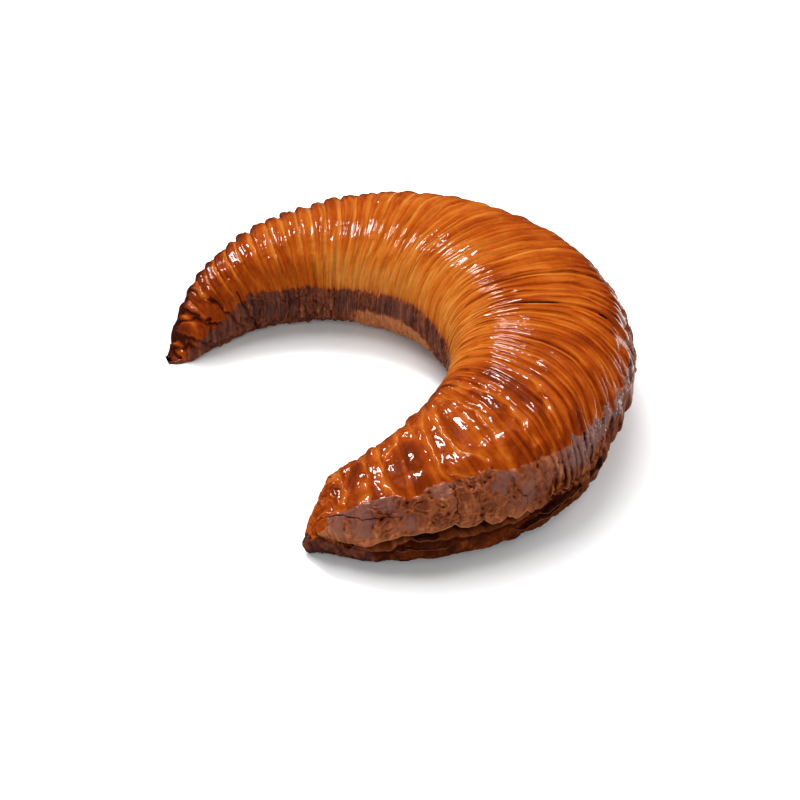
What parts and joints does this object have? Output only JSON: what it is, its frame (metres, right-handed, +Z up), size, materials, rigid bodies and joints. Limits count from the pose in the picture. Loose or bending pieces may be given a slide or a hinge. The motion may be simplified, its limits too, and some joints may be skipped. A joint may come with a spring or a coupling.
{
  "type": "pecan croissant",
  "caption": "Glazed crescent croissant with rolled ribs, a slim horn, a blunt horn and an open seam along its outer side.",
  "frame": {"origin": "on the ground under the middle of the bounding box", "axes": "+Z up; +Y towards the back of the crescent, so both horns point to -Y; +X from the slim horn to the blunt horn"},
  "size_m": [0.1592, 0.1273, 0.0394],
  "materials": {
    "glazed_crust": "browned laminated crust with a clear shiny glaze on top and a duller brown side"
  },
  "bodies": {
    "root": {"croissant": "glazed_crust"}
  },
  "joints": []
}
